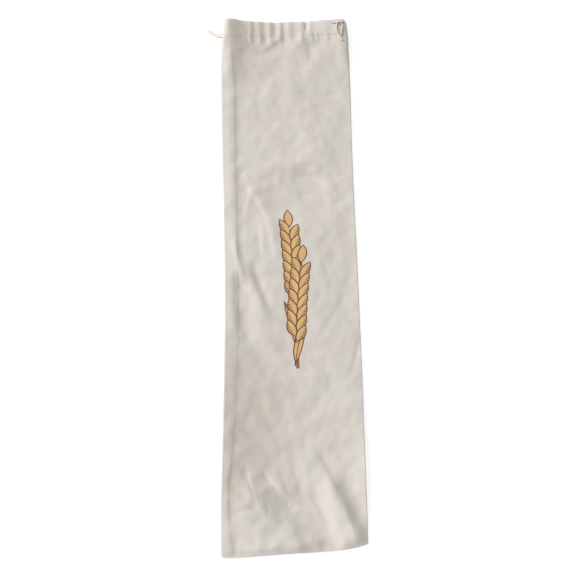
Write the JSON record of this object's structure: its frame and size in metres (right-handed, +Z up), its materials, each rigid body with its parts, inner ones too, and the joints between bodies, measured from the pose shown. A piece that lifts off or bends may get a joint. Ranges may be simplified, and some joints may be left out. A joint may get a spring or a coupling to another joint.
{
  "type": "bread bag",
  "caption": "Long narrow cotton drawstring bread bag lying flat and empty, with a gathered hem casing round its mouth, drawcord ends at the sides and a printed front.",
  "frame": {"origin": "middle of the cloth's bounding box in X and Y, on the surface the bag lies on", "axes": "+Y along the bag from its closed bottom to its mouth, +Z up out of the printed front, +X to the right as the front is seen"},
  "size_m": [0.1918, 0.6974, 0.0168],
  "materials": {
    "cloth": "unbleached plain-weave cotton, matt, with a print in tan and brown on the front",
    "cord": "twisted cotton cord, matt"
  },
  "bodies": {
    "root": {"bag_cloth": "cloth", "drawcord_left": "cord", "drawcord_right": "cord"}
  },
  "joints": []
}
